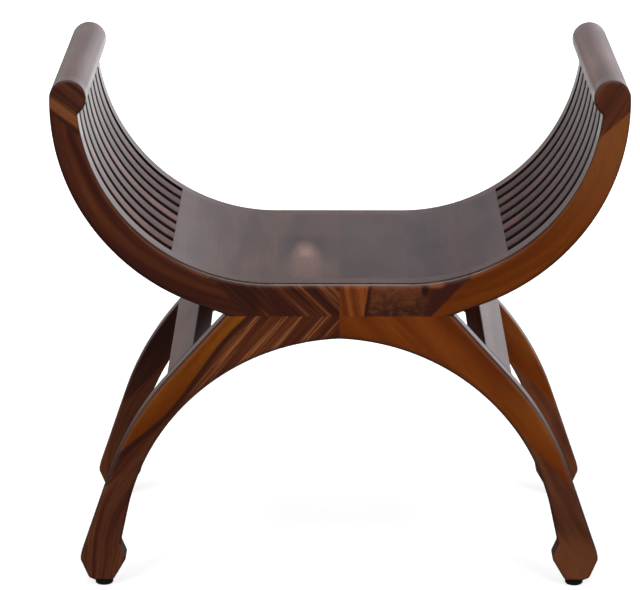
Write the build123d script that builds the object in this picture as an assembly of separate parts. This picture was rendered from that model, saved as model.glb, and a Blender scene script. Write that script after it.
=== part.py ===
from build123d import *
import math
import os

# A scooped bench in solid sheesham, in millimetres, standing on the floor with +Z up.
# X runs along the seat and the front of the bench faces -Y.
# The origin is on the floor under the middle of the seat.

# The front and back frames, each two arms on two legs, and the room between them
bench_depth = 360
board_thickness = 28
seat_height = 397
arm_depth = 41
crown_depth = 30.5
glue_gap = 0.1

# The scoop: a level middle and a round end at each side
seat_flat_half = 84
scoop_radius = 234

# The arms of a frame, which carry the scoop and end in round heads
arm_width_at_head = 33
arm_drop = 10
arm_spring_angle = 21.2
arm_end_angle = 2
head_radius = 22.4
lower_splice_past_flat = 52
lower_splice_drop = 16
lower_splice_angle = 47
head_splice_outward = 3
head_splice_drop = 32.5
head_splice_angle = 42
arm_saw_reach = 52

# The legs of a frame, which stand under the arms in a pointed arch
leg_top_margin = 2
knee_run = 123
knee_drop = 138
knee_radius = 375
arch_past_middle = 12
arch_end_height = 102
arch_end_inward = 32
ankle_height = 56
ankle_inward = 22
leg_splice_inward = 21
leg_splice_over_ankle = 114
leg_splice_angle = -45
leg_saw_reach = 80

# The foot at the end of a leg, measured from the middle of its sole
foot_x = 297
foot_half_width = 28.5
foot_widest_height = 40
foot_land = 5
toe_height = 40.5
toe_land = 4.5
sole_half = 11
sole_ease = 3
sole_slant_reach = 18.5

# The round rails between the heads, with a turned tenon at each end
rail_tenon_radius = 10
rail_tenon_length = 18

# The slats between the seat and the rails
slat_count = 7
slat_thickness = 16
slot_width = 10
end_slot_width = 13
tenon_thickness = 7
tenon_shoulder = 5
tenon_length = 9

# The staves of the seat, glued edge to edge
seat_thickness = 20
second_stave_angle = 16.8
seat_end_angle = 31.7
stave_tenon_thickness = 9
stave_tenon_shoulder = 14
stave_tenon_length = 12

# The two boards that tie the legs together, flush with the legs' outer edges
stretcher_from_joint = 61
stretcher_width = 50
stretcher_thickness = 24
stretcher_shoulder = 6
stretcher_tenon_length = 16

# The loose tongue inside a frame, half in its arms and half in its legs
loose_tongue_half = 105
loose_tongue_thickness = 9
loose_tongue_depth = 16

# The round glides under the feet
glide_radius = 11.3
glide_height = 8

# Depths and heights worked out from the sizes above
half_depth = bench_depth / 2
clear_half_depth = half_depth - board_thickness
board_middle = half_depth - board_thickness / 2
joint_height = seat_height - arm_depth
crown_height = joint_height - crown_depth


def around(centre, radius, angle):
    """The point of a circle in the front view, at an angle from +X."""
    turn = math.radians(angle)
    return (centre[0] + radius * math.cos(turn), centre[1] + radius * math.sin(turn))


def angle_from(centre, point):
    """The direction of a point from a centre in the front view, as an angle from +X."""
    return math.degrees(math.atan2(point[1] - centre[1], point[0] - centre[0]))


def arc(centre, radius, start, end):
    """An arc in the front view, from one angle to another."""
    return CenterArc(centre, radius, start, end - start)


def closed(*points):
    """A face with straight sides in the front view."""
    return make_face(Polyline(*points, close=True))


def board(face, back, front):
    """A front view made solid from one depth to another."""
    return extrude(Plane.XZ.offset(-back) * face, amount=back - front)


def saw_line(x, height, angle, reach):
    """The two ends of a straight saw cut in the front view, the left one first."""
    turn = math.radians(angle)
    run = (reach * math.cos(turn), reach * math.sin(turn))
    return (x - run[0], height - run[1]), (x + run[0], height + run[1])


def saw_off(solid, *corners):
    """Cut a board along the outline of the piece to take off, and give that piece and the rest."""
    region = board(closed(*corners), 0, -bench_depth)
    return solid & region, solid - region


# The centres of the scoop's round end, of the arm's outer edge and of the round head
scoop_centre = (seat_flat_half, seat_height + scoop_radius)
arm_radius = scoop_radius + arm_width_at_head
arm_centre = (seat_flat_half, seat_height + scoop_radius - arm_drop)
head_centre = around(arm_centre, arm_radius - head_radius, arm_end_angle)

# The arm's outer edge leaves the joint in a straight line, which runs into its arc
arm_spring = around(arm_centre, arm_radius, arm_spring_angle - 90)
arm_spring_run = (arm_spring[1] - joint_height) / math.tan(math.radians(arm_spring_angle))
joint_end = (arm_spring[0] - arm_spring_run, joint_height)

# The leg's outer edge runs from the joint by the knee to the widest part of the foot
leg_top = (joint_end[0] + leg_top_margin, joint_height)
knee = (leg_top[0] + knee_run, joint_height - knee_drop)
foot_widest = (foot_x + foot_half_width, foot_widest_height)

# The arch runs down from its crown, where the two legs meet in a point, and straightens over the ankle
arch_end = (foot_x - arch_end_inward, arch_end_height)
ankle = (foot_x - ankle_inward, ankle_height)
arch_rise = crown_height - arch_end_height
arch_centre_drop = arch_rise / 2 + arch_end[0] * (arch_end[0] + arch_past_middle * 2) / (arch_rise * 2)
arch_centre = (-arch_past_middle, crown_height - arch_centre_drop)
arch_radius = math.hypot(arch_past_middle, arch_centre_drop)


def meets_head(radius):
    """The point at which an arc about the scoop's centre runs into the round head."""
    apart = math.dist(scoop_centre, head_centre)
    corner = math.acos((radius**2 + apart**2 - head_radius**2) / (2 * radius * apart))
    return around(scoop_centre, radius, angle_from(scoop_centre, head_centre) - math.degrees(corner))


def scoop_band(inner, outer, start, end):
    """A strip along the round end of the scoop, its angles measured from straight down."""
    corners = [
        around(scoop_centre, inner, start - 90),
        around(scoop_centre, outer, start - 90),
        around(scoop_centre, inner, end - 90),
        around(scoop_centre, outer, end - 90),
    ]
    sides = [
        arc(scoop_centre, inner, start - 90, end - 90),
        arc(scoop_centre, outer, start - 90, end - 90),
        Line(corners[0], corners[1]),
        Line(corners[2], corners[3]),
    ]
    return make_face(sides)


def rail():
    """The right rail, without the mortises for the slats."""
    x, height = head_centre
    core = Pos(x, 0, height) * Rot(X=90) * Cylinder(head_radius, clear_half_depth * 2)
    tenon_reach = (clear_half_depth + rail_tenon_length) * 2
    return core + Pos(x, 0, height) * Rot(X=90) * Cylinder(rail_tenon_radius, tenon_reach)


def rail_socket():
    """The bore in a front head for the rail's tenon."""
    x, height = head_centre
    depth = rail_tenon_length + glue_gap
    middle = -clear_half_depth - depth / 2
    return Pos(x, middle, height) * Rot(X=90) * Cylinder(rail_tenon_radius + glue_gap, depth)


# The staves on the right half of the seat: a level one, then two along the round end
level_stave = closed(
    (0, seat_height),
    (seat_flat_half, seat_height),
    (seat_flat_half, seat_height - seat_thickness),
    (0, seat_height - seat_thickness),
)
seat_under_radius = scoop_radius + seat_thickness
stave_faces = [
    level_stave,
    scoop_band(scoop_radius, seat_under_radius, 0, second_stave_angle),
    scoop_band(scoop_radius, seat_under_radius, second_stave_angle, seat_end_angle),
]


def stave_tenon_faces(gap):
    """The front views of the staves' tenons, or of their mortises with a gap."""
    top = scoop_radius + (seat_thickness - stave_tenon_thickness) / 2 - gap
    bottom = scoop_radius + (seat_thickness + stave_tenon_thickness) / 2 + gap
    shoulder_angle = math.degrees((stave_tenon_shoulder - gap) / scoop_radius)
    level = closed(
        (stave_tenon_shoulder - gap, scoop_centre[1] - top),
        (seat_flat_half - stave_tenon_shoulder + gap, scoop_centre[1] - top),
        (seat_flat_half - stave_tenon_shoulder + gap, scoop_centre[1] - bottom),
        (stave_tenon_shoulder - gap, scoop_centre[1] - bottom),
    )
    ends = [(0, second_stave_angle), (second_stave_angle, seat_end_angle)]
    curved = [scoop_band(top, bottom, start + shoulder_angle, end - shoulder_angle) for start, end in ends]
    return [level] + curved


# The stretcher follows the straight top stretch of the leg's outer edge
leg_run = math.dist(leg_top, knee)
down_leg = ((knee[0] - leg_top[0]) / leg_run, (knee[1] - leg_top[1]) / leg_run)
into_leg = (down_leg[1], -down_leg[0])


def beside_leg(along, inward):
    """A point measured down the leg's outer edge and in from it."""
    return (
        leg_top[0] + down_leg[0] * along + into_leg[0] * inward,
        leg_top[1] + down_leg[1] * along + into_leg[1] * inward,
    )


def stretcher_face(shoulder):
    """The stretcher's section, or its tenon's with a shoulder all round."""
    start = stretcher_from_joint + shoulder
    end = stretcher_from_joint + stretcher_width - shoulder
    near = shoulder
    far = stretcher_thickness - shoulder
    return closed(
        beside_leg(start, near),
        beside_leg(end, near),
        beside_leg(end, far),
        beside_leg(start, far),
    )


def stretcher():
    tenon_end = clear_half_depth + stretcher_tenon_length
    core = board(stretcher_face(0), clear_half_depth, -clear_half_depth)
    return core + board(stretcher_face(stretcher_shoulder), tenon_end, -tenon_end)


def stretcher_mortise():
    tenon_end = clear_half_depth + stretcher_tenon_length
    face = stretcher_face(stretcher_shoulder - glue_gap)
    return board(face, -clear_half_depth, -tenon_end - glue_gap)


def loose_tongue(gap):
    """The loose tongue of the front frame, or the groove for it with a gap."""
    length = (loose_tongue_half + gap) * 2
    thickness = loose_tongue_thickness + gap * 2
    depth = (loose_tongue_depth + gap) * 2
    return Pos(0, -board_middle, joint_height) * Box(length, thickness, depth)


def front_arm():
    """The right arm of the front frame, in one piece."""
    notch = meets_head(scoop_radius)
    outline = make_face([
        Line((0, joint_height), joint_end),
        Line(joint_end, arm_spring),
        arc(arm_centre, arm_radius, arm_spring_angle - 90, arm_end_angle),
        arc(head_centre, head_radius, arm_end_angle, angle_from(head_centre, notch) % 360),
        arc(scoop_centre, scoop_radius, -90, angle_from(scoop_centre, notch)),
        Line((seat_flat_half, seat_height), (0, seat_height)),
        Line((0, seat_height), (0, joint_height)),
    ])
    solid = board(outline, -clear_half_depth, -half_depth)
    for face in stave_tenon_faces(glue_gap):
        solid -= board(face, -clear_half_depth, -clear_half_depth - stave_tenon_length - glue_gap)
    return solid - rail_socket() - loose_tongue(glue_gap)


def front_leg():
    """The right leg of the front frame, in one piece."""
    toe_x = foot_x - foot_half_width
    sole_top = glide_height + sole_ease
    outer_edge = FilletPolyline(leg_top, knee, foot_widest, radius=knee_radius)
    foot_outline = Polyline(
        foot_widest,
        (foot_widest[0], foot_widest_height - foot_land),
        (foot_x + sole_slant_reach, sole_top),
        (foot_x + sole_half, glide_height),
        (foot_x - sole_half, glide_height),
        (foot_x - sole_half - sole_ease, sole_top),
        (toe_x, toe_height - toe_land),
        (toe_x, toe_height),
        ankle,
        arch_end,
    )
    crown = (0, crown_height)
    outline = make_face([
        Line((0, joint_height), leg_top),
        *outer_edge.edges(),
        *foot_outline.edges(),
        arc(arch_centre, arch_radius, angle_from(arch_centre, arch_end), angle_from(arch_centre, crown)),
        Line(crown, (0, joint_height)),
    ])
    solid = board(outline, -clear_half_depth, -half_depth)
    return solid - stretcher_mortise() - loose_tongue(glue_gap)


def slat_face():
    """The front view of a slat, trimmed where it meets the round rail."""
    strip = scoop_band(scoop_radius, scoop_radius + slat_thickness, seat_end_angle, 90)
    return strip - Pos(*head_centre) * Circle(head_radius + glue_gap)


slat_middle_radius = scoop_radius + slat_thickness / 2
slat_ends = [
    around(scoop_centre, slat_middle_radius, seat_end_angle - 90),
    meets_head(slat_middle_radius),
]


def tenon_faces(gap):
    """The front views of a slat's two straight tenons, or of their mortises with a gap."""
    faces = []
    for end in slat_ends:
        reach = tenon_length + gap
        thickness = tenon_thickness + gap * 2
        slope = angle_from(scoop_centre, end) + 90
        faces.append(Pos(*end) * Rot(Z=slope) * Rectangle(reach * 2, thickness))
    return faces


slat_room = clear_half_depth * 2 - end_slot_width * 2 - slot_width * (slat_count - 1)
slat_width = slat_room / slat_count
slat_pitch = slat_width + slot_width
slat_fronts = [-clear_half_depth + end_slot_width + slat_pitch * place for place in range(slat_count)]


def slat(front):
    solid = board(slat_face(), front + slat_width, front)
    for face in tenon_faces(0):
        solid += board(face, front + slat_width - tenon_shoulder, front + tenon_shoulder)
    return solid


def slat_mortises():
    """The room that all the tenons of one side take in the end stave and in the rail."""
    inset = tenon_shoulder - glue_gap
    return Part() + [
        board(face, front + slat_width - inset, front + inset)
        for front in slat_fronts
        for face in tenon_faces(glue_gap)
    ]


def to_left(solid):
    return mirror(solid, about=Plane.YZ)


def to_back(solid):
    return mirror(solid, about=Plane.XZ)


def four_corners(solid):
    """A front right piece and its three mirror images, by the names of their corners."""
    return {
        "front_right": solid,
        "front_left": to_left(solid),
        "back_right": to_back(solid),
        "back_left": to_back(to_left(solid)),
    }


pieces = {}

# The arms, each glued up from three boards
splice = (seat_flat_half + lower_splice_past_flat, seat_height - lower_splice_drop)
low, high = saw_line(*splice, lower_splice_angle, arm_saw_reach)
arm_lower, arm_rest = saw_off(front_arm(), low, high, (-arm_saw_reach, high[1]), (-arm_saw_reach, low[1]))
splice = (head_centre[0] + head_splice_outward, head_centre[1] - head_splice_drop)
low, high = saw_line(*splice, head_splice_angle, arm_saw_reach)
over_head = head_centre[1] + head_radius + arm_saw_reach
arm_head, arm_middle = saw_off(arm_rest, low, high, (high[0], over_head), (low[0], over_head))
for corner, solid in four_corners(arm_lower).items():
    pieces[corner + "_arm_lower"] = solid
for corner, solid in four_corners(arm_middle).items():
    pieces[corner + "_arm_middle"] = solid
for corner, solid in four_corners(arm_head).items():
    pieces[corner + "_arm_head"] = solid

# The legs, each glued up from two boards on a long slanting joint
splice = (ankle[0] - leg_splice_inward, ankle[1] + leg_splice_over_ankle)
high, low = saw_line(*splice, leg_splice_angle, leg_saw_reach)
past_foot = foot_x + leg_saw_reach
leg_lower, leg_upper = saw_off(front_leg(), high, low, (past_foot, low[1]), (past_foot, 0), (high[0], 0))
for corner, solid in four_corners(leg_upper).items():
    pieces[corner + "_leg_upper"] = solid
for corner, solid in four_corners(leg_lower).items():
    pieces[corner + "_leg_lower"] = solid

# The loose tongues hidden in the frames
pieces["front_loose_tongue"] = loose_tongue(0)
pieces["back_loose_tongue"] = to_back(loose_tongue(0))

# The rails, morticed for the slats
right_rail = rail() - slat_mortises()
pieces["right_rail"] = right_rail
pieces["left_rail"] = to_left(right_rail)

# The slats, counted from the front
for number, front in enumerate(slat_fronts, start=1):
    pieces[f"right_slat_{number}"] = slat(front)
    pieces[f"left_slat_{number}"] = to_left(slat(front))

# The staves of the seat, counted from the middle, the end ones morticed for the slats
stave_end = clear_half_depth + stave_tenon_length
for number, (face, tenon_face) in enumerate(zip(stave_faces, stave_tenon_faces(0)), start=1):
    stave = board(face, clear_half_depth, -clear_half_depth) + board(tenon_face, stave_end, -stave_end)
    if number == len(stave_faces):
        stave -= slat_mortises()
    pieces[f"right_seat_stave_{number}"] = stave
    pieces[f"left_seat_stave_{number}"] = to_left(stave)

# The stretchers between the legs
pieces["right_stretcher"] = stretcher()
pieces["left_stretcher"] = to_left(stretcher())

# The glides
glide = Pos(foot_x, -board_middle, glide_height / 2) * Cylinder(glide_radius, glide_height)
for corner, solid in four_corners(glide).items():
    pieces[corner + "_glide"] = solid

os.makedirs("parts", exist_ok=True)
for name, solid in pieces.items():
    export_step(solid, f"parts/{name}.step")
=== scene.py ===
import math
import bpy
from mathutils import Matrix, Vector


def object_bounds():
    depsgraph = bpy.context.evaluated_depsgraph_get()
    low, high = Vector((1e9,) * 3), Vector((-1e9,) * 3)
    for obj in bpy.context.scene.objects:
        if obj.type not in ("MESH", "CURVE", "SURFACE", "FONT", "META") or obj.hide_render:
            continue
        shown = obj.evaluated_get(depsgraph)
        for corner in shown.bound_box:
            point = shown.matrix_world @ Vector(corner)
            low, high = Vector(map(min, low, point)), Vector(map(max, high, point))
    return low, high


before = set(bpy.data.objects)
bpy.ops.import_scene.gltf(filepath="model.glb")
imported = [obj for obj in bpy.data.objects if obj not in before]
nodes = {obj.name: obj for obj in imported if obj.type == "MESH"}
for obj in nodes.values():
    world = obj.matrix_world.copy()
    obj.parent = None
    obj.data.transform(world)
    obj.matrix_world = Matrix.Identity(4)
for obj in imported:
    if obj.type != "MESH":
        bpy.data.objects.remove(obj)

cad_box = [list(corner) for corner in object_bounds()]

# The left arms: three boards of dark sheesham each, spliced on the slant, sanded flush and
# lacquered. Their grain falls to the right, with orange streaks between dark ones. The long
# edges are rounded by hand, and the splices have no edge to feel.
to_right, to_back, upward = (1, 0, 0), (0, 1, 0), (0, 0, 1)


class Wire:
    """The output of a node in one tree, so that its maths reads as a plain expression."""

    def __init__(self, tree, socket=None):
        self.tree = tree
        self.socket = socket

    def node(self, kind, settings={}, sockets={}, output=0):
        """The output of a new node in the same tree."""
        made = self.tree.nodes.new(kind)
        for key, value in settings.items():
            setattr(made, key, value)
        for key, value in sockets.items():
            if isinstance(value, Wire):
                self.tree.links.new(value.socket, made.inputs[key])
            else:
                made.inputs[key].default_value = value
        return Wire(self.tree, made.outputs[output] if made.outputs else None)

    def maths(self, operation, *others):
        values = dict(enumerate((self, *others)))
        return self.node("ShaderNodeMath", {"operation": operation}, values)

    def __add__(self, other):
        return self.maths("ADD", other)

    def __sub__(self, other):
        return self.maths("SUBTRACT", other)

    def __rsub__(self, other):
        return self.node("ShaderNodeMath", {"operation": "SUBTRACT"}, {0: other, 1: self})

    def __mul__(self, other):
        return self.maths("MULTIPLY", other)

    def __truediv__(self, other):
        return self.maths("DIVIDE", other)

    def __abs__(self):
        return self.maths("ABSOLUTE")

    __radd__ = __add__
    __rmul__ = __mul__

    def along(self, direction):
        """How far a place or a normal reaches along a direction."""
        sockets = {0: self, 1: direction}
        return self.node("ShaderNodeVectorMath", {"operation": "DOT_PRODUCT"}, sockets, "Value")

    def rise(self, low, high):
        """0 below low, 1 above high, and smooth between them."""
        sockets = {"Value": self, "From Min": low, "From Max": high}
        return self.node("ShaderNodeMapRange", {"interpolation_type": "SMOOTHSTEP"}, sockets)

    def fall(self, low, high):
        """1 below low, 0 above high, and smooth between them."""
        return 1.0 - self.rise(low, high)


def mix(share, below, above, blend_type="MIX"):
    """One colour laid over another, by a share from 0 to 1."""
    wire = next(value for value in (share, below, above) if isinstance(value, Wire))
    below = below if isinstance(below, Wire) else (*below, 1)
    above = above if isinstance(above, Wire) else (*above, 1)
    settings = {"data_type": "RGBA", "blend_type": blend_type}
    return wire.node("ShaderNodeMix", settings, {0: share, 6: below, 7: above}, 2)


def noise(x, y, z, detail=2.0, roughness=0.5, distortion=0.0):
    """Soft noise from 0 to 1, its lumps about one unit of x, y and z across."""
    where = x.node("ShaderNodeCombineXYZ", {}, {0: x, 1: y, 2: z})
    sockets = {"Vector": where, "Scale": 1.0, "Detail": detail}
    sockets.update({"Roughness": roughness, "Distortion": distortion})
    return where.node("ShaderNodeTexNoise", {}, sockets)


class Finish:
    """The material of one piece, and the place on the bench that its colours follow, in metres."""

    def __init__(self, name):
        self.name = name
        self.material = bpy.data.materials.new(name)
        self.material.use_nodes = True
        self.tree = self.material.node_tree
        self.shader = self.tree.nodes["Principled BSDF"]
        self.place = Wire(self.tree).node("ShaderNodeTexCoord", output="Object")
        self.x, self.y, self.z = (self.place.along(way) for way in (to_right, to_back, upward))

    def facing(self, direction):
        """How far the surface faces along a direction or against it, from 0 to 1."""
        return abs(Wire(self.tree).node("ShaderNodeNewGeometry", output="Normal").along(direction))

    def set(self, socket, value):
        """Give the shader a value that is the same all over the surface."""
        self.shader.inputs[socket].default_value = value

    def feed(self, socket, wire):
        """Give the shader what changes over the surface."""
        self.tree.links.new(wire.socket, self.shader.inputs[socket])


def board_axes(slope):
    """The ways along, across and through a board whose grain has a slope in the front view."""
    turn = math.radians(slope)
    return (math.cos(turn), 0, math.sin(turn)), (-math.sin(turn), 0, math.cos(turn)), to_back


pore_dark = (0.010, 0.004, 0.003)
fibre_shade = (0.50, 0.42, 0.38)


class Sheesham(Finish):
    """Sheesham from one cut of a log, with a dark heart, a warm body and bright streaks.

    The rings, lines, fibres, pores and clouds of its figure each run from 0 to 1. With a bend,
    the figure curves aside on both sides of a middle, as in a board from a bent trunk."""

    def __init__(
        self, name, axes, cut, colours, streaks=0.5,
        ring_width=0.010, waviness=0.004, bend=0.0, middle=0.0,
    ):
        super().__init__(name)
        run, side, deep = (self.place.along(way) for way in axes)
        from_middle = run - middle
        run = run + cut
        wander = noise(run * 7.0, side * 14.0, deep * 10.0 + cut * 7.0) - 0.5
        ripple = noise(run * 28.0, side * 60.0, deep * 20.0 + cut) - 0.5
        side = side + wander * (waviness * 2) + ripple * (waviness * 0.4)
        side = side + from_middle * from_middle * bend
        rings = 1.0 / ring_width
        lines = rings * 3.4
        self.rings = noise(run * 2.5, side * rings, deep * rings * 0.35 + cut * 3.0, 3.0, 0.55)
        self.lines = noise(run * 5.0 + 4.0, side * lines, deep * lines * 0.3, 2.0, 0.6)
        self.fibres = noise(run * 45.0, side * 950.0, deep * 950.0, 2.0, 0.6)
        self.pores = noise(run * 130.0, side * 1500.0, deep * 1500.0 + 9.0, 1.0)
        self.clouds = noise(run * 8.0, side * 16.0, deep * 12.0 + cut * 5.0)

        dark, warm, streak = colours
        self.colour = mix(self.rings.rise(0.36, 0.62), dark, warm)
        self.stain(self.clouds.rise(0.40, 0.80) * 0.5, dark)
        self.stain(self.lines.rise(0.53, 0.63) * self.rings.rise(0.40, 0.56) * streaks, streak)

    def stain(self, share, colour):
        """Lay a colour over the wood, by a share from 0 to 1."""
        self.colour = mix(share, self.colour, colour)

    def lacquer(self, gloss=0.30, level=0.5):
        """Satin lacquer over the wood's colour, its pores still open to the light."""
        self.set("Specular IOR Level", level)
        self.set("Coat Roughness", gloss)
        open_pores = self.pores.rise(0.60, 0.72)
        self.colour = mix(self.fibres.rise(0.35, 0.75) * 0.35, self.colour, fibre_shade, "MULTIPLY")
        self.stain(open_pores * 0.50, pore_dark)
        relief = self.fibres * 0.5 - open_pores
        sockets = {"Strength": 0.12, "Distance": 0.00015, "Height": relief}
        self.feed("Base Color", self.colour)
        self.feed("Roughness", self.clouds * 0.10 + self.fibres * 0.06 + (gloss - 0.08))
        self.feed("Normal", relief.node("ShaderNodeBump", {}, sockets))


glue_line = 0.0003
frame_front = cad_box[1][1]
sharpest_curve = math.radians(25)
above_feet = (0.08, 0.18)
below_heads = (0.41, 0.52)
end_fullness = 0.15


def flat_sides(node):
    """A node's flat sides, each as its normal and how far out along it the side lies."""
    return {
        (*(round(value, 5) for value in face.normal), round(face.normal.dot(face.center), 5))
        for face in node.data.polygons
    }


flats = {name: flat_sides(nodes[name]) for name in nodes}


def joints(name, neighbours):
    """The planes in which a node is glued to its neighbours, face to face."""
    across = [plane for other in neighbours if other != name for plane in flats[other]]
    return [
        plane for plane in flats[name]
        if any(all(abs(a + b) < glue_line for a, b in zip(plane, other)) for other in across)
    ]


def mark_edges(name, planes, inner_share):
    """A node group that marks the edges to be rounded, and the joints whose edges stay sharp.

    The edges of a frame's outer face get the whole width, less at the heads and the feet, and
    all others a share of it."""
    tree = bpy.data.node_groups.new(name + "_edges", "GeometryNodeTree")
    for way in ("INPUT", "OUTPUT"):
        tree.interface.new_socket("Mesh", in_out=way, socket_type="NodeSocketGeometry")
    start = Wire(tree)
    mesh = start.node("NodeGroupInput")
    place = start.node("GeometryNodeInputPosition")
    ends = [
        start.node("GeometryNodeInputMeshEdgeVertices", output=f"Position {number}")
        for number in (1, 2)
    ]
    angle = start.node("GeometryNodeInputMeshEdgeAngle")
    corner = angle.maths("GREATER_THAN", sharpest_curve)
    free = corner
    for *across, offset in planes:
        away = [abs(end.along(across) - offset) for end in ends]
        free = free * away[0].maths("MAXIMUM", away[1]).maths("GREATER_THAN", glue_line)

    outer_face = abs(place.along(to_back)).maths("GREATER_THAN", frame_front - 0.001)
    height = place.along(upward)
    fullness = height.rise(*above_feet) * height.fall(*below_heads)
    fullness = fullness * (1.0 - end_fullness) + end_fullness
    weight = free * (outer_face * fullness * (1.0 - inner_share) + inner_share)
    marks = (("bevel_weight_edge", "FLOAT", weight), ("sharp_edge", "BOOLEAN", corner - free))
    for label, kind, value in marks:
        settings = {"data_type": kind, "domain": "EDGE"}
        sockets = {"Geometry": mesh, "Name": label, "Value": value}
        mesh = mesh.node("GeometryNodeStoreNamedAttribute", settings, sockets)
    mesh.node("NodeGroupOutput", {}, {0: mesh})
    return tree


def dress(finish, rounding, neighbours=(), segments=3, inner_share=1.0):
    """Put a finish on its node, and round the node's edges where no neighbour is glued on."""
    name = finish.name
    node = nodes[name]
    node.data.materials.clear()
    node.data.materials.append(finish.material)
    weld = node.modifiers.new("weld", "WELD")
    weld.merge_threshold = 0.00001
    flatten = node.modifiers.new("flatten", "DECIMATE")
    flatten.decimate_type = "DISSOLVE"
    flatten.angle_limit = math.radians(0.4)
    mark = node.modifiers.new("mark", "NODES")
    mark.node_group = mark_edges(name, joints(name, neighbours), inner_share)
    ease = node.modifiers.new("ease", "BEVEL")
    ease.width = rounding
    ease.segments = segments
    ease.limit_method = "WEIGHT"
    ease.use_clamp_overlap = False
    shade = node.modifiers.new("shade", "WEIGHTED_NORMAL")
    shade.keep_sharp = True


arms = [name for name in nodes if "_arm_" in name]
legs = [name for name in nodes if "_leg_" in name]
seat = [name for name in nodes if "_seat_" in name]
rails = [name for name in nodes if name.endswith("_rail")]

frame_rounding = 0.0066
frame_inside = 0.152
side_grain = {"left": (0.044, 0.0205, 0.0130), "right": (0.028, 0.0115, 0.0090)}
painted_slot_shade = (0.0040, 0.0020, 0.0016)
arris_painted_dark_reflection = (0.0100, 0.0048, 0.0040)
arris_painted_highlight = (0.170, 0.100, 0.072)
rail_coat = 0.34


def board(wood):
    """Finish a board of a frame, its narrow sides like the seat, and its rounded edges with a
    painted dark reflection and a painted highlight.
    """
    depth = abs(wood.y)
    # 1 on a frame's outer and inner face, 0 on its narrow sides, and between them on a rounding
    front = wood.facing(to_back)
    narrow = front.fall(0.30, 0.60)
    wood.stain(narrow * 0.85, side_grain[wood.name.split("_")[1]])
    # Painted reflection: the upper part of each rounding on a frame's outer face is painted dark,
    # standing for the dark room that it mirrors.
    rounded = front.rise(0.03, 0.12) * front.fall(0.55, 0.95)
    outer_edge = depth.rise(frame_front - 0.010, frame_front - 0.007)
    wood.stain(rounded * outer_edge * 0.70, arris_painted_dark_reflection)
    # Painted highlight: the lower part of each rounding, where it still faces a little upwards, is
    # painted light, standing for a lamp mirrored in it; on the arms only near the middle of the
    # bench.
    painted_highlight_and_rubbed_coat = front.rise(0.60, 0.80) * front.fall(0.85, 0.98) * wood.facing(upward).rise(0.10, 0.30)
    if wood.name in arms:
        painted_highlight_and_rubbed_coat = painted_highlight_and_rubbed_coat * abs(wood.x).fall(0.14, 0.24)
    wood.stain(painted_highlight_and_rubbed_coat * 0.2, arris_painted_highlight)
    # Painted shade: on the arms, the inner face that looks into the first slot is painted near
    # black, for the shade in the slot.
    if wood.name in arms:
        inner_face = front * depth.fall(frame_inside + 0.0010, frame_inside + 0.0025)
        wood.stain(inner_face * 0.9, painted_slot_shade)
    wood.lacquer(0.32)
    if wood.name.endswith("_head"):
        wood.feed("Coat Weight", narrow * rail_coat)
    neighbours = arms + legs + seat + rails if wood.name in arms else arms + legs
    dress(wood, frame_rounding, neighbours, segments=6, inner_share=0.4)


arm_dark = (0.027, 0.0062, 0.0040)
arm_warm = (0.070, 0.0172, 0.0062)
arm_streak = (0.180, 0.058, 0.019)
arm_end = (0.022, 0.0058, 0.0044)
bend_dark = (0.036, 0.0080, 0.0046)
bend_warm = (0.070, 0.0180, 0.0070)
head_dark = (0.030, 0.0085, 0.0050)
head_warm = (0.070, 0.020, 0.009)
arm_end_x = (-0.108, -0.086)
head_band_low = (0.352, 0.359)
head_band_high = (0.366, 0.374)
bend_middle = 0.54

for corner, cut in (("front_left", 0.0), ("back_left", 1.7)):
    lower = Sheesham(
        f"{corner}_arm_lower", board_axes(-45), cut, (arm_dark, arm_warm, arm_streak), 0.8,
        ring_width=0.014, waviness=0.0015,
    )
    left_end = (lower.x + (lower.clouds - 0.5) * 0.02).fall(*arm_end_x)
    lower.stain(left_end * 0.8, arm_end)
    board(lower)

    bend_colours = (bend_dark, bend_warm, arm_streak)
    bend = Sheesham(
        f"{corner}_arm_middle", board_axes(-50), cut + 0.31, bend_colours, 0.15,
        ring_width=0.012, waviness=0.006, bend=-2.2, middle=-bend_middle,
    )
    board(bend)

    head_colours = (head_dark, head_warm, arm_streak)
    head = Sheesham(f"{corner}_arm_head", board_axes(-40), cut + 0.62, head_colours, 0.3)
    slant = head.z + head.x * 0.75
    band = slant.rise(*head_band_low) * slant.fall(*head_band_high)
    head.stain(band * head.rings.rise(0.15, 0.45) * 0.9, arm_streak)
    board(head)

# The right arms: a golden board and a dark burr at the middle of the bench, a long orange
# board round the bend, and a dark head, spliced and lacquered like the left arms.
gold_dark = (0.095, 0.0190, 0.0022)
gold_warm = (0.190, 0.048, 0.0090)
gold_streak = (0.240, 0.078, 0.020)
burr_seam = (0.030, 0.0085, 0.0055)
burr_low = (0.036, 0.0098, 0.0060)
burr_high = (0.094, 0.0265, 0.0105)
burr_speck = (0.150, 0.046, 0.015)
burr_ring = (0.180, 0.062, 0.024)
burr_eye = (0.018, 0.0055, 0.0045)
burr_end = (0.038, 0.0088, 0.0052)
burr_glow = (0.190, 0.058, 0.017)
orange_dark = (0.095, 0.0190, 0.0010)
orange_warm = (0.138, 0.0305, 0.0022)
orange_pale = (0.178, 0.0600, 0.0170)
right_head = ((0.050, 0.0130, 0.0062), (0.110, 0.032, 0.013), (0.170, 0.060, 0.026))
eye_spot = {"x": 0.105, "z": 0.3895, "wide": 0.0055, "tall": 0.009}
glow_spot = {"x": 0.118, "z": 0.3965, "wide": 0.011, "tall": 0.0055}
gold_end = -0.053
seam_past_gold = (0.032, 0.034)
burr_past_gold = (0.036, 0.039)
end_past_gold = (0.100, 0.116)


def spot(wood, x, z, wide, tall):
    """1 at a place on the front of a frame, falling to 0 at an oval's rim."""
    across = (wood.x - x) / wide
    up = (wood.z - z) / tall
    return (across * across + up * up).fall(0.1, 1.5)


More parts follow.
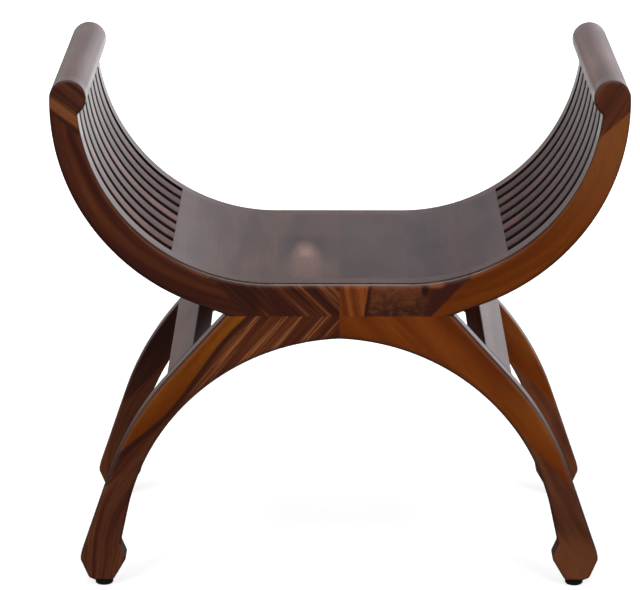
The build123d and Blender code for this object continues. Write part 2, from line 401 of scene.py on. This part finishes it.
def burr(wood):
    """Burr: a red-brown ground, darker downwards, with swirling lighter lines and one dark eye."""
    x, y, z = wood.x, wood.y, wood.z
    swirl = noise(x * 34.0 + 4.0, y * 18.0, z * 40.0, 1.0, 0.5, 0.8)
    speck = noise(x * 120.0, y * 90.0, z * 170.0, 4.0, 0.6)
    rings = (swirl * 34.0 + speck * 2.5).maths("SINE")
    colour = mix((z + (speck - 0.5) * 0.02).rise(0.362, 0.392), burr_low, burr_high)
    colour = mix(speck.rise(0.40, 0.75) * 0.50, colour, burr_speck)
    colour = mix(rings.rise(0.60, 1.0) * 0.22, colour, burr_ring)
    return mix(spot(wood, **eye_spot), colour, burr_eye)


for corner, cut in (("front_right", 0.4), ("back_right", 2.3)):
    lower = Sheesham(
        f"{corner}_arm_lower", board_axes(-80), cut + 0.6, (gold_dark, gold_warm, gold_streak), 0.4,
        ring_width=0.011, waviness=0.003,
    )
    ragged = (lower.clouds - 0.5) * 0.010 + (lower.lines - 0.5) * 0.003
    past_gold = lower.x + ragged - lower.z * 0.14 - gold_end
    lower.stain(past_gold.rise(*seam_past_gold), burr_seam)
    lower.stain(past_gold.rise(*burr_past_gold), burr(lower))
    lower.stain(past_gold.rise(*end_past_gold), burr_end)
    lower.stain(spot(lower, **glow_spot) * 0.75, burr_glow)
    board(lower)

    bend = Sheesham(
        f"{corner}_arm_middle", board_axes(50), cut, (orange_dark, orange_warm, gold_streak), 0.10,
        ring_width=0.016, waviness=0.008, bend=-2.2, middle=bend_middle,
    )
    bend.stain(bend.z.rise(0.42, 0.60) * 0.7, orange_pale)
    board(bend)

    head_name = f"{corner}_arm_head"
    board(Sheesham(head_name, board_axes(60), cut + 0.3, right_head, 0.4, waviness=0.006))

# The left legs: an upper board whose outer edge is orange sapwood, bounded by a dark line,
# over a dark lower board. The grain climbs to the right, so that it meets the grain of the
# arms in a herringbone.
leg_dark = (0.042, 0.0095, 0.0042)
leg_warm = (0.090, 0.0228, 0.0072)
leg_streak = (0.270, 0.100, 0.036)
sap_dark = (0.130, 0.0320, 0.0016)
sap_warm = (0.200, 0.0610, 0.0042)
sap_red = (0.105, 0.0190, 0.0010)
sap_bound = (0.024, 0.0062, 0.0038)
back_edge_painted_shade = (0.022, 0.0065, 0.0048)
back_leg_painted_shade = (0.024, 0.0075, 0.0052)
shin_dark = (0.045, 0.0110, 0.0056)
shin_warm = (0.104, 0.0300, 0.0124)
diagonal = math.sqrt(0.5)
up_left = (-diagonal, 0, diagonal)
up_right = (diagonal, 0, diagonal)
sap_depth = 0.3120
sap_depth_at_knee = 0.0185
sap_widening = 0.08

for corner, cut in (("front_left", 0.9), ("back_left", 3.1)):
    upper = Sheesham(
        f"{corner}_leg_upper", board_axes(50), cut, (leg_dark, leg_warm, leg_streak), 0.65,
        ring_width=0.014, waviness=0.001,
    )
    run = upper.place.along(up_right)
    bound = run.rise(0.0, 0.15) * sap_depth_at_knee + sap_depth
    bound = bound - run.maths("MINIMUM", 0.0) * sap_widening
    edge = upper.place.along(up_left) - bound + (upper.clouds - 0.5) * 0.004
    if corner == "front_left":
        sap = mix(upper.rings.rise(0.35, 0.65), sap_dark, sap_warm)
        sap = mix(edge.fall(0.006, 0.030) * upper.z.fall(0.24, 0.34) * 0.85, sap, sap_red)
        upper.stain(edge.rise(-0.007, -0.002) * 0.85, sap_bound)
        upper.stain(edge.rise(0.000, 0.005), sap)
    else:
        # Painted shade: the back leg's upper board is darkened near its outer edge, where the front
        # leg has sapwood, and then all over.
        upper.stain(edge.rise(-0.020, 0.020), back_edge_painted_shade)
        upper.stain(0.75, back_leg_painted_shade)
    board(upper)

    lower = Sheesham(
        f"{corner}_leg_lower", board_axes(44), cut + 0.5, (shin_dark, shin_warm, leg_streak), 0.15,
        ring_width=0.012, waviness=0.006, bend=3.0, middle=-0.06,
    )
    board(lower)

# The right legs: an orange-brown upper board with a quiet figure, over a dark lower board,
# glued up like the left ones. The back leg's colours are painted paler, as painted light
# that makes up for the shade it stands in.
knee_dark = (0.095, 0.0175, 0.0016)
knee_warm = (0.155, 0.0340, 0.0030)
knee_bright = (0.230, 0.0720, 0.0100)
calf_dark = (0.050, 0.0140, 0.0072)
calf_warm = (0.125, 0.0400, 0.0160)
foot_pale = (0.130, 0.0420, 0.0150)
bright_depth = 0.3150
bright_curve = 0.9


def toned(strength, *colours):
    """The same colours, paler above a strength of 1 and darker below it."""
    return [tuple(value * strength for value in colour) for colour in colours]


# A strength above 1 makes the back leg a paler copy of the front one: painted light, making up for
# the shade that it stands in.
for corner, cut, strength in (("front_right", 1.3, 1.0), ("back_right", 3.6, 1.7)):
    dark, warm, bright = toned(strength, knee_dark, knee_warm, knee_bright)
    upper = Sheesham(
        f"{corner}_leg_upper", board_axes(-48), cut, (dark, warm, gold_streak), 0.08,
        ring_width=0.030, waviness=0.010,
    )
    run = upper.place.along(up_left)
    outward = upper.place.along(up_right) - run * run * bright_curve - bright_depth
    upper.stain(outward.rise(-0.004, 0.022) * upper.z.fall(0.17, 0.30) * 0.8, bright)
    board(upper)

    dark, warm = toned(strength, calf_dark, calf_warm)
    lower = Sheesham(
        f"{corner}_leg_lower", board_axes(-62), cut + 0.5, (dark, warm, leg_streak), 0.10,
        ring_width=0.030, waviness=0.010,
    )
    lower.stain(lower.z.fall(0.045, 0.085) * 0.7, foot_pale)
    board(lower)

# The loose tongues: strips of sheesham glued into a groove between the arms and the legs of
# each frame, hidden by the boards round them.
tongue_rounding = 0.0004

for name in ("front_loose_tongue", "back_loose_tongue"):
    tongue = Sheesham(name, board_axes(0), 5.0, (leg_dark, leg_warm, leg_streak))
    tongue.lacquer()
    dress(tongue, tongue_rounding)

# The seat: coopered staves glued edge to edge, their grain from front to back, sanded and
# lacquered as one surface. The stave left of the middle has a pink flame of crotch wood that
# opens towards the front.
front_to_back = (to_back, to_right, upward)
stave_rounding = 0.0002
seat_colours = {
    "left": ((0.026, 0.0100, 0.0062), (0.052, 0.0240, 0.0150), (0.078, 0.040, 0.028)),
    "right": ((0.014, 0.0045, 0.0038), (0.030, 0.0120, 0.0095), (0.050, 0.024, 0.019)),
}
flame_dull = (0.008, 0.0045, 0.0055)
flame_pink = (0.160, 0.082, 0.060)
flame_heart = (0.240, 0.130, 0.100)
flame_x = -0.043
heart_before = 0.034

for side, cut in (("left", 0.0), ("right", 2.9)):
    for number in (1, 2, 3):
        stave = Sheesham(
            f"{side}_seat_stave_{number}", front_to_back, cut + number * 0.71,
            seat_colours[side], 0.35, ring_width=0.030, waviness=0.010,
        )
        if stave.name == "right_seat_stave_1":
            stave.stain(0.4, seat_colours["left"][0])
        if stave.name == "left_seat_stave_1":
            beside = abs(stave.x - flame_x + (stave.clouds - 0.5) * 0.010)
            before = 0.0 - stave.y
            dull = before.rise(-0.060, -0.020) * before.fall(0.06, 0.16)
            stave.stain(beside.fall(0.020, 0.045) * dull * 0.8, flame_dull)
            half_width = before.maths("MAXIMUM", 0.0) * 0.14 + 0.011
            flame = before.rise(-0.030, 0.010) * before.fall(0.03, 0.19)
            flame = (beside / half_width).fall(0.3, 1.6) * flame
            stave.stain(flame * (stave.rings * 0.4 + 0.5), flame_pink)
            heart = beside.fall(0.002, 0.012) * abs(before - heart_before).fall(0.005, 0.030)
            stave.stain(heart * 0.6, flame_heart)
        stave.lacquer(0.34)
        dress(stave, stave_rounding, arms + seat, segments=1)

# The slats: sawn to the curve of the scoop, tenoned into the seat at one end and into the
# rail at the other, each from its own board and lacquered like the seat.
slat_rounding = 0.0034
slat_slope = 58
slat_colours = {
    "left": ((0.034, 0.0110, 0.0070), (0.080, 0.0280, 0.0180), (0.110, 0.045, 0.030)),
    "right": ((0.022, 0.0070, 0.0055), (0.048, 0.0170, 0.0125), (0.070, 0.028, 0.021)),
}

for side, sign in (("left", -1), ("right", 1)):
    for number in range(1, 8):
        dark, warm, streak = slat_colours[side]
        [warm] = toned(0.9 + 0.5 * math.sin(number * 2.4 + sign), warm)
        slat = Sheesham(
            f"{side}_slat_{number}", board_axes(sign * slat_slope), number * 0.37 + sign,
            (dark, warm, streak), ring_width=0.014, waviness=0.008,
        )
        # Painted shade: the slats' sides that face the slots, front and back, are painted near
        # black, for the shade deep in the slots.
        slat.stain(slat.facing(to_back).rise(0.08, 0.32) * 0.95, painted_slot_shade)
        slat.lacquer(0.40, level=0.15)
        slat.feed("Coat Weight", slat.z.rise(0.44, 0.58) * 0.6)
        dress(slat, slat_rounding, seat)

# The rails: one turned length each, let into the heads of the arms, with the grain along it.
# The right one is rubbed duller on its sides.
rail_rounding = 0.0003
rail_colours = ((0.045, 0.0200, 0.0145), (0.100, 0.050, 0.036), (0.120, 0.062, 0.046))

for side, cut in (("left", 0.2), ("right", 1.9)):
    rail = Sheesham(f"{side}_rail", front_to_back, cut, rail_colours, 0.4, ring_width=0.018)
    rail.lacquer(0.34, level=0.35)
    if side == "right":
        painted_highlight_and_rubbed_coat = rail.facing(to_right).rise(0.30, 0.90)
    else:
        painted_highlight_and_rubbed_coat = rail.clouds.rise(0.5, 0.9) * 0.1
    rail.feed("Coat Weight", (1.0 - painted_highlight_and_rubbed_coat) * rail_coat)
    dress(rail, rail_rounding, arms, segments=1)

# The stretchers: flat boards tenoned between the legs, flush with the legs' outer edges,
# with grain from end to end.
stretcher_rounding = 0.0015
stretcher_colours = ((0.040, 0.0105, 0.0078), (0.085, 0.030, 0.024), (0.120, 0.050, 0.038))

for side, cut in (("left", 0.6), ("right", 2.2)):
    stretcher = Sheesham(
        f"{side}_stretcher", front_to_back, cut, stretcher_colours, 0.4, ring_width=0.014
    )
    stretcher.lacquer(0.34, level=0.30)
    dress(stretcher, stretcher_rounding, legs)

# The glides: black plastic discs nailed under the feet, so that the bench slides and its
# soles stay dry. They are rounded at the rim and scuffed by the floor.
glide_rounding = 0.0024
glide_black = (0.0050, 0.0045, 0.0045)
glide_worn = (0.020, 0.019, 0.018)

for corner in ("front_left", "front_right", "back_left", "back_right"):
    glide = Finish(f"{corner}_glide")
    scuffs = noise(glide.x * 300.0, glide.y * 300.0, glide.z * 500.0, 3.0)
    worn = scuffs.rise(0.4, 0.7) * glide.z.fall(0.001, 0.005)
    glide.feed("Base Color", mix(worn, glide_black, glide_worn))
    glide.feed("Roughness", scuffs * 0.25 + 0.35)
    dress(glide, glide_rounding)

# The floor: a pale sheet, white to the camera and to what mirrors it behind the bench, and
# dark to everything else. It keeps the bench's shadow, and glows more the further it lies
# from a place in front of the bench, so that it is white to the edges of every view.
floor_size = 40
sheet_dark, sheet_pale = (0.03, 0.03, 0.03), (0.45, 0.45, 0.45)
glow_near, glow_far = (0.36, 0.36, 0.36), (0.96, 0.96, 0.96)
glow_start = (0, -3.0, 0)
glow_reach = 6.6

bpy.ops.mesh.primitive_plane_add(size=floor_size, location=(0, 0, 0))
floor = bpy.context.object
floor.name = "floor"
paper = Finish("floor_paper")
camera_ray, glossy_ray, transmission_ray = (
    paper.place.node("ShaderNodeLightPath", output=f"Is {kind} Ray")
    for kind in ("Camera", "Glossy", "Transmission")
)
behind = paper.y.rise(1.0, 2.4) * (paper.x.rise(-0.8, 0.8) * 0.7 + 0.3)
seen = camera_ray.maths("MAXIMUM", glossy_ray.maths("MAXIMUM", transmission_ray) * behind)
reach = paper.place.node(
    "ShaderNodeVectorMath", {"operation": "DISTANCE"}, {0: paper.place, 1: glow_start}, "Value"
)
paper.set("Roughness", 1.0)
paper.set("Specular IOR Level", 0.0)
paper.set("Emission Strength", 1.0)
paper.feed("Base Color", mix(seen, sheet_dark, sheet_pale))
glow = mix(reach.rise(0.0, glow_reach), glow_near, glow_far)
paper.feed("Emission Color", mix(seen, (0, 0, 0), glow))
floor.data.materials.append(paper.material)

# The lamps: a soft box over each shoulder of the camera, a long one overhead, and a weaker
# one on each side and behind, all aimed at the middle of the bench. Only the one overhead is
# mirrored in the lacquer.
aim_height = 0.35

for name, (x, y, z), length, breadth, power in (
    ("left_soft_box", (-2.6, -3.2, 2.4), 2.2, 2.2, 145),
    ("right_soft_box", (2.6, -3.2, 2.4), 2.2, 2.2, 145),
    ("top_soft_box", (0, -0.3, 3.2), 3.2, 0.9, 65),
    ("left_fill", (-3.8, 1.6, 1.0), 1.6, 1.6, 60),
    ("right_fill", (3.8, 1.6, 1.0), 1.6, 1.6, 50),
    ("back_fill", (0, 4.2, 1.2), 2.0, 2.0, 130),
):
    lamp = bpy.data.lights.new(name, "AREA")
    lamp.shape = "RECTANGLE"
    lamp.size = length
    lamp.size_y = breadth
    lamp.energy = power
    holder = bpy.data.objects.new(name, lamp)
    bpy.context.scene.collection.objects.link(holder)
    holder.location = (x, y, z)
    holder.visible_glossy = name == "top_soft_box"
    holder.rotation_euler = (math.atan2(math.hypot(x, y), z - aim_height), 0, math.atan2(x, -y))

# The room: dim overhead, with walls that are bright near the floor, most of all behind the
# bench to the right, which is what the lacquer mirrors. It is white to the camera.
room_dim = (0.035, 0.035, 0.038)
wall_bright = (1.30, 1.22, 1.30)
white = (1.0, 1.0, 1.0)

world = bpy.data.worlds.new("studio")
bpy.context.scene.world = world
world.use_nodes = True
start = Wire(world.node_tree)
way = start.node("ShaderNodeTexCoord", output="Generated")
camera_ray = start.node("ShaderNodeLightPath", output="Is Camera Ray")
back_wall = way.along(to_back).rise(-0.1, 0.4) * (way.along(to_right).rise(-0.4, 0.4) * 0.6 + 0.4)
wall = way.along(upward).fall(0.05, 0.60) * back_wall.maths("MAXIMUM", 0.15)
room = mix(camera_ray, mix(wall, room_dim, wall_bright), white)
world.node_tree.links.new(room.socket, world.node_tree.nodes["Background"].inputs["Color"])

# The camera: at the photograph's height and pitch, four metres away, with a long lens that
# takes in the bench from end to end.
lens = bpy.data.cameras.new("photograph")
lens.lens = 174.1
lens.sensor_width = 36
lens.clip_end = 100
camera = bpy.data.objects.new("photograph", lens)
bpy.context.scene.collection.objects.link(camera)
camera.location = (-0.012, -3.82, 1.4603)
camera.rotation_euler = (math.radians(73.52), 0, math.radians(0.19))
bpy.context.scene.camera = camera
bpy.context.scene.view_settings.view_transform = "Standard"
